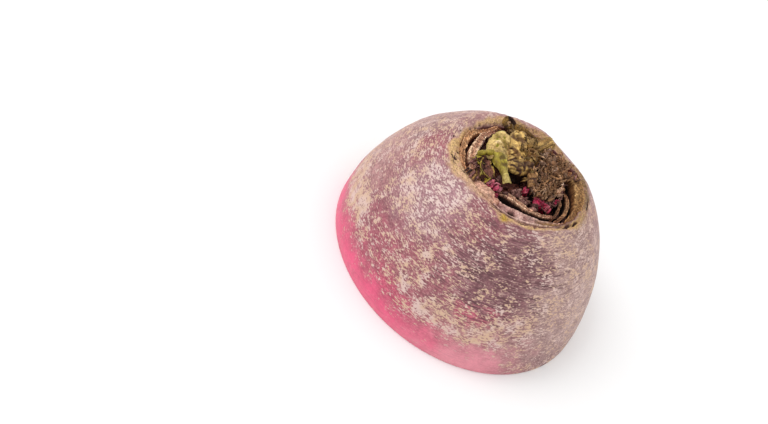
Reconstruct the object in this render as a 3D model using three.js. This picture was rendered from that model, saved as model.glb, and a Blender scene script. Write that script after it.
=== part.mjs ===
// The crown half of a red-fleshed radish, standing on its cut face.
// The root is one solid, because the skin, the flesh and the basin at the crown grew together.
// The leaf bases, stalk ends and young leaf that stand in the basin are pieces of their own.
// Millimetres, +Z up. The origin is the middle of the cut face, which rests at Z = 0.

import * as THREE from "three";

// The root: half an ellipsoid, cut across at its widest and levelled off at the crown.
const CUT_RADIUS = 41.2;
const DOME_HEIGHT = 46;
const LIP_HEIGHT = 38.4;
const LIP_ROUNDING = 1.2;
const BASIN_RADIUS = 19.8;
const BASIN_FLOOR = 35;
const BASIN_WALL_SLOPE = 0.5;
const LIP_ANGLE = Math.asin(LIP_HEIGHT / DOME_HEIGHT);
const LIP_RADIUS = CUT_RADIUS * Math.cos(LIP_ANGLE);
const LIP_CREST_RADIUS = LIP_RADIUS - LIP_ROUNDING;
const FLANK_STEPS = 15;
const ROOT_SEGMENTS = 64;

// How the root strays from a true round: an oval section that is rounder at the crown, three low lobes,
// and a crown that leans off to one side.
const OVAL = 0.043;
const OVAL_AT_CROWN = 0.5;
const OVAL_ANGLE = THREE.MathUtils.degToRad(124);
const LOBE_HEIGHT = 0.35;
const CROWN_SHIFT = new THREE.Vector2(1.2, 2.6);
const LEAN_POWER = 1.5;

// The basin is not in the middle of the crown, so the lip round it is wide on one side and thin on the other.
const BASIN_SHIFT = new THREE.Vector2(1.2, -0.8);
const BASIN_MIDDLE = CROWN_SHIFT.clone().add(BASIN_SHIFT);

// The lip reaches further in at one place, and a piece is out of it on the far side. Angles are in degrees
// about the middle of the basin, and each feature fades away from its angle over its reach.
const INWARD_STEP = { size: 2.2, angle: 236, reach: 26 };
const LIP_CHIP = { size: 1.6, angle: 65, reach: 14 };

// Everything in the basin stands this far above its floor, so that nothing overlaps.
const SEAT_GAP = 0.35;
const SEAT = BASIN_FLOOR + SEAT_GAP;

// Crescent leaf bases. Radii are about the middle of the basin, angles in degrees from +X.
const ARC_STEPS = 12;
const TIP_SHARE = 0.35;
const BASE_LEAN = 0.1;
const LEAF_BASES = {
  outer: [
    { inner: 17.4, outer: 18.6, from: 120, to: 214, height: 3.9 },
    { inner: 15, outer: 18.5, from: 261, to: 318, height: 3.9 },
    { inner: 16.4, outer: 18.7, from: 324, to: 407, height: 4.1 },
    { inner: 16.8, outer: 18.3, from: 55, to: 104, height: 4.1 },
    { inner: 14.4, outer: 16.9, from: 229, to: 257, height: 3.7 },
  ],
  middle: [
    { inner: 15, outer: 17, from: 132, to: 225, height: 4.6 },
    { inner: 12.6, outer: 14.4, from: 248, to: 312, height: 4.4 },
    { inner: 14.4, outer: 15.9, from: 320, to: 384, height: 4.2 },
  ],
  inner: [
    { inner: 13.4, outer: 14.6, from: 203, to: 225, height: 4 },
    { inner: 12.5, outer: 13.7, from: 338, to: 382, height: 4 },
  ],
};

// A curved leaf blade among the stubs, about a middle of its own.
const YOUNG_LEAF = { inner: 6.8, outer: 8.4, from: -12, to: 116, height: 6.8 };
const YOUNG_LEAF_MIDDLE = new THREE.Vector2(-8.3, -7.6);

// The stubs at the heart of the crown, each an oval foot that tapers and leans towards its top.
// at is the middle of the foot, half holds its half widths and turn is its angle in degrees.
// lean is how far the top moves sideways, and taper is the top's share of the foot's size.
const STUBS = [
  {
    name: "pale_stalk_stub",
    slot: "stalk",
    at: [-5.7, 6.8],
    half: [2.9, 4.4],
    turn: -12,
    height: 7.2,
    lean: [-0.6, 0.4],
    taper: 0.85,
  },
  {
    name: "folded_leaf_base",
    slot: "stalk",
    at: [-0.85, 8.8],
    half: [1.5, 3.6],
    turn: -6,
    height: 6.8,
    lean: [-0.3, 0.4],
    taper: 0.9,
  },
  {
    name: "far_stalk_stub",
    slot: "stalk",
    at: [3, 12.4],
    half: [1.7, 2.2],
    turn: -35,
    height: 6.9,
    lean: [2.6, 4.8],
    taper: 0.9,
  },
  {
    name: "heart_bud",
    slot: "dry_leaf",
    at: [1.5, 1.8],
    half: [3.4, 2.1],
    turn: 38,
    height: 6,
    lean: [-0.6, -0.2],
    taper: 0.85,
  },
  {
    name: "fibrous_leaf_base_1",
    slot: "dry_leaf",
    at: [9.4, 12.2],
    half: [3.6, 2.6],
    turn: -24,
    height: 6.6,
    lean: [0.9, 0.9],
    taper: 0.85,
  },
  {
    name: "fibrous_leaf_base_2",
    slot: "dry_leaf",
    at: [9.2, 6],
    half: [3.6, 2.6],
    turn: -12,
    height: 6.4,
    lean: [0.7, 0.2],
    taper: 0.85,
  },
  {
    name: "fibrous_leaf_base_3",
    slot: "dry_leaf",
    at: [9, 0],
    half: [3, 2.5],
    turn: 20,
    height: 5.6,
    lean: [0.3, -0.2],
    taper: 0.85,
  },
  {
    name: "curled_leaf_tip",
    slot: "dry_leaf",
    at: [-5, 15.2],
    half: [2.6, 1.4],
    turn: 24,
    height: 7,
    lean: [-0.7, 1.5],
    taper: 0.8,
  },
  {
    name: "cut_stalk_end_1",
    slot: "cut_flesh",
    at: [-3.8, -9.2],
    half: [1.9, 1],
    turn: 8,
    height: 3.8,
    lean: [0, 0],
    taper: 0.85,
  },
  {
    name: "cut_stalk_end_2",
    slot: "cut_flesh",
    at: [11, -6],
    half: [2.1, 1],
    turn: 24,
    height: 3.8,
    lean: [0, 0],
    taper: 0.85,
  },
  {
    name: "cut_stalk_end_3",
    slot: "cut_flesh",
    at: [5.3, -4.4],
    half: [1.2, 0.8],
    turn: -30,
    height: 3.6,
    lean: [0, 0],
    taper: 0.85,
  },
];
const STUB_SEGMENTS = 12;
const STUB_STEPS = 3;

const MATERIALS = {
  root: new THREE.MeshStandardMaterial({ color: 0xb08a85, roughness: 0.6, metalness: 0 }),
  leaf_base: new THREE.MeshStandardMaterial({ color: 0x9c7a58, roughness: 0.85, metalness: 0 }),
  dry_leaf: new THREE.MeshStandardMaterial({ color: 0x6f5238, roughness: 0.9, metalness: 0 }),
  stalk: new THREE.MeshStandardMaterial({ color: 0xb49c5e, roughness: 0.7, metalness: 0 }),
  leaf: new THREE.MeshStandardMaterial({ color: 0x97912f, roughness: 0.7, metalness: 0 }),
  cut_flesh: new THREE.MeshStandardMaterial({ color: 0xc42f62, roughness: 0.45, metalness: 0 }),
};

function piece(name, geometry, slot) {
  const mesh = new THREE.Mesh(geometry, MATERIALS[slot]);
  mesh.name = name;
  return mesh;
}

// Moves each vertex to where move(point) puts it.
function reshape(geometry, move) {
  const positions = geometry.getAttribute("position");
  const point = new THREE.Vector3();
  for (let i = 0; i < positions.count; i++) {
    point.fromBufferAttribute(positions, i);
    move(point);
    positions.setXYZ(i, point.x, point.y, point.z);
  }
  return geometry;
}

// Half the section through the axis, from the middle of the cut face round to the inner edge of the lip,
// then down the wall of the basin and in to the middle of its floor.
function rootProfile() {
  const points = [new THREE.Vector2(0, 0), new THREE.Vector2(CUT_RADIUS / 2, 0)];
  for (let i = 0; i <= FLANK_STEPS; i++) {
    const angle = (LIP_ANGLE * i) / FLANK_STEPS;
    points.push(new THREE.Vector2(CUT_RADIUS * Math.cos(angle), DOME_HEIGHT * Math.sin(angle)));
  }
  points.push(new THREE.Vector2(LIP_CREST_RADIUS, LIP_HEIGHT + LIP_ROUNDING / 2));
  points.push(new THREE.Vector2(BASIN_RADIUS, LIP_HEIGHT));
  points.push(new THREE.Vector2(BASIN_RADIUS - BASIN_WALL_SLOPE, BASIN_FLOOR));
  points.push(new THREE.Vector2(BASIN_RADIUS / 2, BASIN_FLOOR));
  points.push(new THREE.Vector2(0, BASIN_FLOOR));
  return points;
}

// How much of a feature there is at an angle in degrees: its size at its own angle, and less further off.
function featureAt(feature, degrees) {
  const away = THREE.MathUtils.euclideanModulo(degrees - feature.angle + 180, 360) - 180;
  return feature.size * Math.exp(-((away / feature.reach) ** 2));
}

// Moves the top of the root to its true outline about the basin: the inward step and the chip.
function reshapeLip(point) {
  const x = point.x - BASIN_MIDDLE.x;
  const y = point.y - BASIN_MIDDLE.y;
  const spoke = Math.hypot(x, y);
  if (spoke < 1) return;
  const degrees = THREE.MathUtils.radToDeg(Math.atan2(y, x));
  const high = THREE.MathUtils.smoothstep(point.z, 31, 37) * THREE.MathUtils.smoothstep(spoke, 12, 18.8);
  const inward = (featureAt(INWARD_STEP, degrees) * high) / spoke;
  point.x -= x * inward;
  point.y -= y * inward;
  const low = THREE.MathUtils.smoothstep(point.z, 33, 38.5) * THREE.MathUtils.smoothstep(spoke, 18, 19.4);
  point.z -= featureAt(LIP_CHIP, degrees) * low;
}

function rootHalf() {
  const geometry = new THREE.LatheGeometry(rootProfile(), ROOT_SEGMENTS);
  geometry.rotateX(Math.PI / 2);
  const lipMiddle = (BASIN_RADIUS + LIP_CREST_RADIUS) / 2;
  return reshape(geometry, (point) => {
    const inBasin = point.z >= BASIN_FLOOR && Math.hypot(point.x, point.y) < lipMiddle;
    if (inBasin) {
      point.x += BASIN_MIDDLE.x;
      point.y += BASIN_MIDDLE.y;
      reshapeLip(point);
      return;
    }
    const angle = Math.atan2(point.y, point.x);
    const rise = THREE.MathUtils.clamp(point.z / LIP_HEIGHT, 0, 1);
    const oval = OVAL * Math.cos(2 * (angle - OVAL_ANGLE)) * THREE.MathUtils.lerp(1, OVAL_AT_CROWN, rise);
    const lobes = (LOBE_HEIGHT / CUT_RADIUS) * Math.sin(3 * angle) * Math.sin(Math.PI * rise);
    const lean = rise ** LEAN_POWER;
    point.x = point.x * (1 + oval + lobes) + CROWN_SHIFT.x * lean;
    point.y = point.y * (1 + oval + lobes) + CROWN_SHIFT.y * lean;
    reshapeLip(point);
  });
}

// A crescent wall that is thickest and tallest at the middle of its arc, and leans outwards a little.
function crescent({ inner, outer, from, to, height }, middle) {
  const start = THREE.MathUtils.degToRad(from);
  const sweep = THREE.MathUtils.degToRad(to - from);
  const radius = (inner + outer) / 2;
  const swell = (share) => TIP_SHARE + (1 - TIP_SHARE) * Math.sin(Math.PI * share);
  const outside = [];
  const inside = [];
  for (let i = 0; i <= ARC_STEPS; i++) {
    const share = i / ARC_STEPS;
    const angle = start + sweep * share;
    const half = ((outer - inner) / 2) * swell(share);
    outside.push(new THREE.Vector2((radius + half) * Math.cos(angle), (radius + half) * Math.sin(angle)));
    inside.push(new THREE.Vector2((radius - half) * Math.cos(angle), (radius - half) * Math.sin(angle)));
  }
  const outline = new THREE.Shape([...outside, ...inside.reverse()]);
  const geometry = new THREE.ExtrudeGeometry(outline, { depth: height, bevelEnabled: false });
  reshape(geometry, (point) => {
    const angle = Math.atan2(point.y, point.x);
    const turned = THREE.MathUtils.euclideanModulo(angle - start + 0.5, 2 * Math.PI) - 0.5;
    const share = THREE.MathUtils.clamp(turned / sweep, 0, 1);
    point.z *= swell(share);
    const lean = 1 + (BASE_LEAN * point.z) / radius;
    point.x *= lean;
    point.y *= lean;
  });
  return geometry.translate(middle.x, middle.y, SEAT);
}

// An oval foot drawn up to a smaller, leaning top.
function stub({ at, half, turn, height, lean, taper }) {
  const outline = new THREE.Shape();
  outline.absellipse(0, 0, half[0], half[1], 0, 2 * Math.PI, false, 0);
  const options = { depth: height, steps: STUB_STEPS, curveSegments: STUB_SEGMENTS, bevelEnabled: false };
  const geometry = new THREE.ExtrudeGeometry(outline, options);
  reshape(geometry, (point) => {
    const size = 1 - ((1 - taper) * point.z) / height;
    point.x *= size;
    point.y *= size;
  });
  geometry.rotateZ(THREE.MathUtils.degToRad(turn));
  reshape(geometry, (point) => {
    const rise = point.z / height;
    point.x += lean[0] * rise;
    point.y += lean[1] * rise;
  });
  return geometry.translate(at[0], at[1], SEAT);
}

const radish = new THREE.Group();
radish.add(piece("root_half", rootHalf(), "root"));
for (const [row, bases] of Object.entries(LEAF_BASES)) {
  bases.forEach((base, index) => {
    radish.add(piece(`${row}_leaf_base_${index + 1}`, crescent(base, BASIN_MIDDLE), "leaf_base"));
  });
}
radish.add(piece("young_leaf", crescent(YOUNG_LEAF, YOUNG_LEAF_MIDDLE), "leaf"));
for (const shape of STUBS) {
  radish.add(piece(shape.name, stub(shape), shape.slot));
}

export default radish;
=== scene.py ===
import math

import bmesh
import bpy
import numpy as np
from mathutils import Matrix, Vector, noise


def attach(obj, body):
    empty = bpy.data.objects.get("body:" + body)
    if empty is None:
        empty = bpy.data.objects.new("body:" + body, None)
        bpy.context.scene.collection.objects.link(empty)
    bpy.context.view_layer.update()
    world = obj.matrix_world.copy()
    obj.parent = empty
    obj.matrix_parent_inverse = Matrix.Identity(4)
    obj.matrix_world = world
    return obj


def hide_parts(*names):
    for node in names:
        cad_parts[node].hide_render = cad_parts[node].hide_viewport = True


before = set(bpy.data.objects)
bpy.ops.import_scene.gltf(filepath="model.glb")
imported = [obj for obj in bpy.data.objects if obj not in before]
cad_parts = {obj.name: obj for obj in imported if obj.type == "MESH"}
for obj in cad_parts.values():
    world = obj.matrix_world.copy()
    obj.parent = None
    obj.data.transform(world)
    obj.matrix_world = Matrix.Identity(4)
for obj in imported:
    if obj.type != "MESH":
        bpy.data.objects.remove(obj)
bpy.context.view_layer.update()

MM = 0.001
scene = bpy.context.scene

# ------------
# The camera looks down on the root from the side of its wide lip, and is rolled so that the root
# seems to lean. It aims a little to the left of the root, so that the root stands to the right.
CAMERA_ELEVATION = math.radians(40.9)
CAMERA_ROLL = math.radians(30.7)
CAMERA_DISTANCE = 570 * MM
CAMERA_AIM = Vector((-26.3, 0.6, 0.7)) * MM
CAMERA_LENS = 89.0


def deselect():
    """Lets go of all that is selected, so that the next operator acts on nothing else."""
    bpy.ops.object.select_all(action="DESELECT")


def just_made(name):
    """Names the object that an operator has just made."""
    made = bpy.context.object
    made.name = name
    return made


deselect()
bpy.ops.object.camera_add()
camera = just_made("camera")
camera.data.lens = CAMERA_LENS
camera.data.sensor_width = 36.0
camera.data.clip_start = 10 * MM
camera.data.clip_end = 20.0
turned = Matrix.Rotation(math.pi / 2 - CAMERA_ELEVATION, 4, "X") @ Matrix.Rotation(CAMERA_ROLL, 4, "Z")
camera.matrix_world = Matrix.Translation(CAMERA_AIM) @ turned @ Matrix.Translation((0, 0, CAMERA_DISTANCE))
scene.camera = camera

# ------------
# The table top is a wide pale disc just under the cut face. Round it is a white room, with one
# soft window up at the left.
TABLE_RADIUS = 3.0
TABLE_GAP = 0.02 * MM
WINDOW_PLACE = Vector((-0.6, 0, 0.9)).normalized() * 0.9
WINDOW_WIDTH = 0.5
WINDOW_POWER = 2.0


def new_finish(name, rough, gloss):
    """Starts a material. The nodes that are made next go into its tree."""
    global tree, shader
    made = bpy.data.materials.new(name)
    made.use_nodes = True
    tree = made.node_tree
    shader = tree.nodes["Principled BSDF"]
    shader.inputs["Roughness"].default_value = rough
    shader.inputs["Specular IOR Level"].default_value = gloss
    return made


deselect()
bpy.ops.mesh.primitive_circle_add(
    vertices=96, radius=TABLE_RADIUS, fill_type="NGON", location=(0, 0, -TABLE_GAP))
table_top = just_made("table_top")
table_top.data.materials.append(new_finish("white_table", 0.9, 0.1))
shader.inputs["Base Color"].default_value = (0.93, 0.93, 0.93, 1)

room = bpy.data.worlds.new("white_room")
room.use_nodes = True
room_light = room.node_tree.nodes["Background"]
room_light.inputs["Color"].default_value = (1, 1, 1, 1)
room_light.inputs["Strength"].default_value = 1.0
scene.world = room
scene.view_settings.view_transform = "Standard"

bpy.ops.object.light_add(type="AREA")
window = just_made("window_lamp")
window.data.size = WINDOW_WIDTH
window.data.energy = WINDOW_POWER
turned = WINDOW_PLACE.to_track_quat("Z", "Y").to_matrix().to_4x4()
window.matrix_world = Matrix.Translation(WINDOW_PLACE) @ turned

# ------------
# The root: the crown half, cut across at its widest. Skin, flesh, lip and basin grew as one piece,
# so they are one closed mesh. It starts as a ball that is cut below and levelled off at the crown.

# Lengths are in millimetres from here on, and operators are given them in metres.
CUT_RADIUS = 41.2
DOME_HEIGHT = 46
LIP_HEIGHT = 38.4
BASIN_RADIUS = 19.8
CROWN_SHIFT = Vector((1.2, 2.6, 0))
BASIN_MIDDLE = Vector((2.4, 1.8, 0))
BASIN_SHIFT = BASIN_MIDDLE - CROWN_SHIFT
HAIR = 0.01
CROWN_FROM = 30


def edit_all():
    """Goes into edit mode with the whole mesh selected."""
    bpy.ops.object.mode_set(mode="EDIT")
    bpy.ops.mesh.select_all(action="SELECT")


def edit_select(test):
    """In edit mode, selects the vertices whose height passes the test, and nothing else."""
    bpy.ops.mesh.select_mode(type="VERT")
    bpy.ops.mesh.select_all(action="DESELECT")
    made = bmesh.from_edit_mesh(bpy.context.object.data)
    for vertex in made.verts:
        vertex.select = test(vertex.co.z / MM)
    made.select_flush(True)
    bmesh.update_edit_mesh(bpy.context.object.data)


def draw_ring(share, lift=0, centre=(0, 0, 0)):
    """Extrudes the selected ring, sizes the new one about centre and lifts it."""
    bpy.ops.mesh.extrude_region_move()
    bpy.ops.transform.resize(value=(share, share, 1), center_override=Vector(centre) * MM)
    if lift:
        bpy.ops.transform.translate(value=(0, 0, lift * MM))


def close_ring():
    """Fills the selected ring and turns the fill into a fan about its middle."""
    bpy.ops.mesh.edge_face_add()
    bpy.ops.mesh.poke()


def apply_modifier(piece, kind, **settings):
    """Adds a modifier to the piece and applies it."""
    bpy.context.view_layer.objects.active = piece
    made = piece.modifiers.new("made", kind)
    for name, value in settings.items():
        setattr(made, name, value)
    bpy.ops.object.modifier_apply(modifier="made")


def read_rows(data, part, width):
    """What is stored under the part, one row for each vertex."""
    found = np.empty(len(data) * width)
    data.foreach_get(part, found)
    return found.reshape(-1, width)


def get_places(piece):
    """The piece's vertices as rows of x, y and z."""
    return read_rows(piece.data.vertices, "co", 3) / MM


def set_places(piece, moved):
    """Puts the piece's vertices at the rows given."""
    piece.data.vertices.foreach_set("co", (moved * MM).ravel())
    piece.data.update()


deselect()
bpy.ops.mesh.primitive_uv_sphere_add(segments=128, ring_count=64, radius=MM)
root = just_made("radish_root")
root.scale = (CUT_RADIUS, CUT_RADIUS, DOME_HEIGHT)
bpy.ops.object.transform_apply(location=False, rotation=False, scale=True)
edit_all()
bpy.ops.mesh.bisect(plane_co=(0, 0, 0), plane_no=(0, 0, 1), clear_inner=True)
bpy.ops.mesh.select_all(action="SELECT")
bpy.ops.mesh.bisect(plane_co=(0, 0, LIP_HEIGHT * MM), plane_no=(0, 0, 1), clear_outer=True)

# The cut face, ring by ring inwards from its sharp rim.
edit_select(lambda height: height < HAIR)
for share in (0.994, 0.97, 0.93, 0.9, 0.88, 0.8, 0.75, 0.6):
    draw_ring(share)
close_ring()

# The lip rolls over into the basin, whose wall goes down to a nearly flat floor.
edit_select(lambda height: height > LIP_HEIGHT - HAIR)
lip_radius = CUT_RADIUS * math.sqrt(1 - (LIP_HEIGHT / DOME_HEIGHT) ** 2)
for share, lift in ((0.975, 0.45), (0.97, 0.15), (0.97, -0.1)):
    draw_ring(share, lift)
    lip_radius *= share
draw_ring(BASIN_RADIUS / lip_radius, -0.5)
bpy.ops.transform.translate(value=BASIN_SHIFT * MM)
for share, lift in ((0.985, -1.2), (0.985, -1.2), (0.97, -0.8), (0.94, -0.2)):
    draw_ring(share, lift, BASIN_SHIFT)
for share in (0.88, 0.86, 0.83, 0.8, 0.74, 0.66, 0.5):
    draw_ring(share, centre=BASIN_SHIFT)
close_ring()
bpy.ops.object.mode_set(mode="OBJECT")
apply_modifier(root, "SUBSURF", levels=2, render_levels=2)
places = get_places(root)
x, y, z = places.T

# How the root strays from a true round: an oval section that is rounder at the crown, three low
# lobes, and a crown that leans to one side, with low lumps all over.
OVAL = 0.043
OVAL_AT_CROWN = 0.5
OVAL_ANGLE = math.radians(124)
LOBE_HEIGHT = 0.35
LEAN_POWER = 1.5

# How rough it is: each is a height and how wide its lumps are.
LUMPS = (0.3, 14)
SMALL_LUMPS = (0.12, 5)
CORK_CRUMBLE = (0.22, 2.2)
FLOOR_LUMPS = (0.35, 2.5)
TORN_WALL = (0.4, 1.7)

# The corky ring reaches further in at one place, and has a piece out of it on the far side. Each
# is its size, its angle and how far round it goes, in degrees.
INWARD_STEP, *INWARD_SPOT = (2.2, 236, 26)
LIP_CHIP, *CHIP_SPOT = (1.6, 65, 14)


def ease(low, high, value):
    """0 below low, 1 above high, and a smooth rise between. Works on arrays."""
    share = np.clip((value - low) / (high - low), 0, 1)
    return share * share * (3 - 2 * share)


def field(points, size, seed, octaves=2, stretch=(1, 1, 1)):
    """Smooth random values from about -1 to 1 at the points, in lumps of the given size."""
    moved = points * (np.array(stretch) / size) + np.array((seed * 7.3, seed * 3.1, seed * 5.7))
    return np.array([noise.fractal(Vector(p), 0.8, 2, octaves) for p in moved])


def roughness(lumps, seed, octaves=2):
    """Random heights over the root, of one of the kinds above."""
    return lumps[0] * field(places, lumps[1], seed, octaves)


def rows(*columns):
    """Rows of x, y and z from their columns."""
    return np.stack(columns, axis=1)


def turn_about(middle):
    """The angle of each of the root's points round a middle, in degrees."""
    return np.degrees(np.arctan2(y - middle[1], x - middle[0]))


def near_turn(found, angle, reach):
    """1 at the angle, in degrees, falling to 0 away from it."""
    return np.exp(-(((found - angle + 180) % 360 - 180) / reach) ** 2)


angles = np.arctan2(y, x)
rises = np.clip(z / LIP_HEIGHT, 0, 1)
in_basin = ease(0.6, -0.3, np.hypot(x - BASIN_SHIFT.x, y - BASIN_SHIFT.y) - BASIN_RADIUS) * (z > CROWN_FROM)
outside = 1 - in_basin
rim_share = np.hypot(x, y) / CUT_RADIUS
arcs = np.arctan2(z / DOME_HEIGHT, rim_share) * 0.5 * (CUT_RADIUS + DOME_HEIGHT)

oval = OVAL * np.cos(2 * (angles - OVAL_ANGLE)) * (1 + (OVAL_AT_CROWN - 1) * rises)
lobes = LOBE_HEIGHT / CUT_RADIUS * np.sin(3 * angles) * np.sin(math.pi * rises)
lean = rises ** LEAN_POWER
swell = 1 + (oval + lobes) * outside
x[:] = x * swell + CROWN_SHIFT.x * lean
y[:] = y * swell + CROWN_SHIFT.y * lean
lumps = roughness(LUMPS, 1) + roughness(SMALL_LUMPS, 2)
crumble = roughness(CORK_CRUMBLE, 3, 3) * ease(35.5, 38, z)
outward = places / np.linalg.norm(places + 1e-6, axis=1, keepdims=True)
places += ((lumps * ease(0, 6, z) + crumble) * outside)[:, None] * outward

# The basin has a rough floor and a torn wall.
z += roughness(FLOOR_LUMPS, 4, 3) * in_basin
spokes = places[:, :2] - np.array(BASIN_MIDDLE.xy)
spoke = np.hypot(*spokes.T)
spokes /= np.maximum(spoke, 1e-3)[:, None]
high_up = ease(31, 37, z) * ease(12, BASIN_RADIUS - 1, spoke)
inward = INWARD_STEP * near_turn(turn_about(BASIN_MIDDLE), *INWARD_SPOT) * high_up
places[:, :2] -= spokes * inward[:, None]
ragged = roughness(TORN_WALL, 9, 3) * np.exp(-((spoke - BASIN_RADIUS) / 1.3) ** 2)
places[:, :2] += spokes * (ragged * (z > 34))[:, None]
about_basin = turn_about(BASIN_MIDDLE)
z -= LIP_CHIP * near_turn(about_basin, *CHIP_SPOT) * ease(33, 38.5, z) * outside

# Pits and cracks in the corky ring: angle and radius about the basin's middle, how far each goes
# round in degrees, its half width and its depth. They are dented in, and the skin paints them near
# black as shade.
PITS = (
    (197, 20.5, 1.6, 0.5, 0.9), (143, 19.9, 2.2, 0.4, 1.2), (149, 20.3, 1.8, 0.4, 1.2),
    (155, 20.3, 2.2, 0.45, 1.2), (161, 20.6, 1.6, 0.5, 1.2), (137, 20.5, 1.6, 0.35, 1),
    (131, 20.1, 2.2, 0.4, 1.2), (125, 20.4, 1.8, 0.35, 1), (119, 19.9, 2.4, 0.4, 1.2),
    (166, 20, 2.4, 0.4, 1), (205, 22.4, 7, 0.16, 0.35), (220, 21.3, 6, 0.16, 0.35),
    (202, 21.3, 4, 0.14, 0.3), (236, 20.7, 6, 0.14, 0.3), (299, 20.2, 1.2, 0.5, 0.9),
    (303, 20.3, 0.9, 0.4, 0.8), (224, 20.4, 6, 0.22, 0.5), (322, 20, 5, 0.42, 1.3),
    (331, 20.6, 6, 0.5, 1.4), (341, 20.9, 5, 0.4, 1.2), (288, 20.6, 6, 0.22, 0.5),
    (262, 20.4, 6, 0.3, 0.6), (10, 21.2, 7, 0.3, 0.6), (182, 22.6, 1.4, 0.3, 0.5),
    (172, 21.8, 1.2, 0.35, 0.5), (205, 21.9, 3, 0.2, 0.5), (105, 21, 6, 0.4, 0.8))
pits = np.zeros(len(places))
torn_edge = field(places, 1.2, 8, 3)
for angle, radius, reach, wide, deep in PITS:
    off = (spoke - radius + 0.35 * torn_edge) / wide
    hollow = near_turn(about_basin, angle, reach) * np.exp(-off ** 2) * outside * (z > CROWN_FROM)
    z -= deep * hollow
    pits = np.maximum(pits, hollow * (1 + 0.5 * torn_edge))
set_places(root, places)


def srgb(red, green, blue):
    """A colour given as 0 to 255 for each part, as the shader counts it."""
    parts = np.array((red, green, blue)) / 255
    return np.where(parts <= 0.04045, parts / 12.92, ((parts + 0.055) / 1.055) ** 2.4)


# The skin's ground colour, patch by patch. Each is an angle round the root and a height in
# millimetres, how far it reaches each way, how strong it is, and its colour.
SKIN = srgb(155, 99, 104)
PINK = srgb(230, 92, 130)
PALE_PINK = srgb(223, 143, 155)
SKIN_PATCHES = (
    (172, 22, 32, 26, 0.9, 182, 137, 132), (170, 34, 26, 6.5, 0.85, 141, 103, 101),
    (120, 22, 44, 22, 0.75, 192, 160, 150), (-22, 18, 34, 40, 0.95, 170, 142, 133),
    (-33, 12, 14, 8, 0.6, 180, 152, 144), (30, 20, 26, 26, 0.7, 170, 140, 132),
    (-76, 28, 26, 9, 0.8, 134, 92, 98), (-68, 29.5, 19, 7.5, 0.85, 116, 77, 80),
    # The first patch on the next line is painted shade, low on the root where it meets the table.
    (-56, 35, 9, 2.6, 0.8, 110, 76, 80), (-42, 2, 34, 5, 0.75, 140, 100, 100),
    (-40, 10, 12, 4, 0.6, 154, 122, 116), (-150, 24, 14, 9, 0.5, 150, 96, 102),
    (-128, 17, 14, 6, 0.6, 172, 86, 102), (-108, 21, 12, 6, 0.6, 164, 98, 105),
    (-76, 12, 18, 4, 0.7, 182, 142, 132), (-77, 17.5, 6, 3, 0.8, 188, 92, 110),
    (-111, 11, 12, 3.6, 0.85, 174, 82, 99), (-168, 36, 16, 4, 0.7, 160, 84, 94),
    (-97, 36, 12, 4, 0.7, 140, 74, 82), (-133, 32, 22, 8, 0.9, 166, 126, 130),
    (-44, 26, 8, 4, 0.6, 188, 162, 152), (-24, 22, 10, 8, 0.6, 190, 163, 153),
    (-10, 38, 12, 3, 0.7, 150, 118, 101), (74, 27, 22, 8, 0.85, 134, 94, 98),
    (112, 12, 20, 8, 0.8, 190, 154, 146), (146, 9, 16, 6, 0.8, 152, 88, 98),
    (50, 9, 18, 7, 0.8, 192, 164, 154), (95, 35, 20, 4, 0.6, 178, 142, 136))
# How thickly the pale corky flecks lie, in the same way: 0 is none and 1 is all over.
FLECKS = 0.36
FLECK_PATCHES = (
    (-190, 26, 22, 30, 0.9, 0.42), (-22, 16, 34, 40, 0.8, 0.5), (-35, 11, 13, 6, 0.8, 0.24),
    (-168, 13, 22, 5, 1, 0.75), (-152, 11, 8, 3, 0.8, 0.7), (-92, 13, 18, 3.2, 1, 0.47),
    (-107, 19, 4, 7, 0.9, 0.52), (-133, 33, 18, 6, 0.9, 0.54), (-163, 22, 10, 6, 0.85, 0.24),
    (-134, 30, 9, 3.5, 0.7, 0.4), (-172, 33, 9, 3, 0.8, 0.62), (-140, 28, 7, 3, 0.9, 0.72),
    (-108, 28, 7, 3, 0.9, 0.52), (-113, 18, 7, 3, 0.9, 0.5), (-88, 10, 10, 3, 0.9, 0.68),
    (-76, 12.5, 10, 3, 0.9, 0.68), (-63, 12, 10, 3.4, 0.8, 0.6), (-60, 17, 12, 3, 0.8, 0.58),
    (-68, 30, 20, 7, 0.9, 0.22), (-111, 11, 12, 3, 0.8, 0.3), (-77, 17.5, 6, 3, 0.8, 0.3),
    (-20, 20, 24, 14, 0.6, 0.4), (78, 29, 20, 7, 0.85, 0.16), (108, 16, 18, 6, 0.9, 0.66),
    (56, 13, 14, 5, 0.8, 0.6), (138, 23, 12, 8, 0.85, 0.2), (148, 8, 16, 3.5, 0.9, 0.62),
    (92, 5, 18, 4, 0.8, 0.25))

shift_x = field(places, 7, 5, 3)
shift_z = field(places, 7, 6, 3)
streaks = field(places, 2.4, 7, stretch=(0.35, 0.35, 1.4))
turns = turn_about((CROWN_SHIFT.x * lean, CROWN_SHIFT.y * lean))


def patch_weight(angle, height, reach_angle, reach_height, strength):
    """How much of a patch is at each vertex. Its edge wanders with the random fields."""
    across = (turns - angle + 180) % 360 - 180 + 9 * shift_x + 4 * streaks
    along = z - height + 2.2 * shift_z + 1.3 * streaks
    return strength * ease(1.6, 0.4, np.hypot(across / reach_angle, along / reach_height))


def toward(start, end, share):
    """Moves each row, or one colour for all rows, towards the end by each row's share."""
    return start + (end - start) * share[:, None]


def keep(piece, **layers):
    """Stores values for each vertex, each under its name. The tone is a colour."""
    for name, values in layers.items():
        kind, part = ("FLOAT", "value") if values.ndim == 1 else ("FLOAT_VECTOR", "vector")
        if name == "tone":
            kind, part = "FLOAT_COLOR", "color"
            values = np.hstack((np.clip(values, 0, 1), np.ones((len(values), 1))))
        made = piece.data.attributes.get(name) or piece.data.attributes.new(name, kind, "POINT")
        made.data.foreach_set(part, np.ascontiguousarray(values, dtype=np.float32).ravel())


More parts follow.
